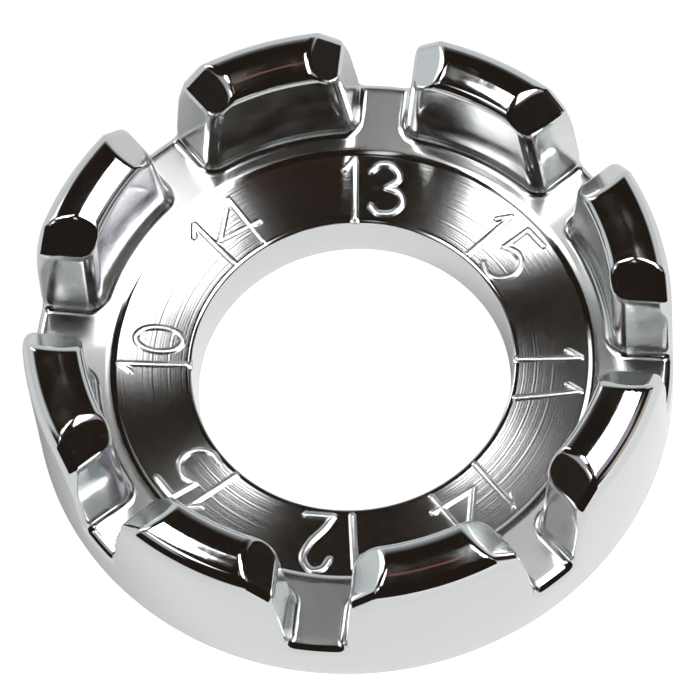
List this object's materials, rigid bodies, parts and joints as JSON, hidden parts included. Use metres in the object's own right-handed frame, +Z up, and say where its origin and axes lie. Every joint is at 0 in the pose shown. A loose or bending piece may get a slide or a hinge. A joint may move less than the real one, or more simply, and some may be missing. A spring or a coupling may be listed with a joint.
{
  "type": "spoke wrench",
  "caption": "Round plated spoke wrench: a finger hole inside a ring of castellated jaws whose slots grip spoke nipples of different gauges.",
  "frame": {"origin": "centre of the finger hole on the flat underside", "axes": "+Z up along the hole's axis towards the crowns; the slot numbered 13 lies on +Y and the numbers run clockwise from it"},
  "size_m": [0.045, 0.045, 0.0127],
  "materials": {
    "plated_body": "bright nickel-chrome plate over turned metal",
    "plated_jaws": "bright nickel-chrome plate over cast metal"
  },
  "bodies": {
    "root": {"base_ring": "plated_body", "jaw_13_15": "plated_jaws", "jaw_15_11": "plated_jaws", "jaw_11_14": "plated_jaws", "jaw_14_12": "plated_jaws", "jaw_12_15": "plated_jaws", "jaw_15_10": "plated_jaws", "jaw_10_14": "plated_jaws", "jaw_14_13": "plated_jaws"}
  },
  "joints": []
}
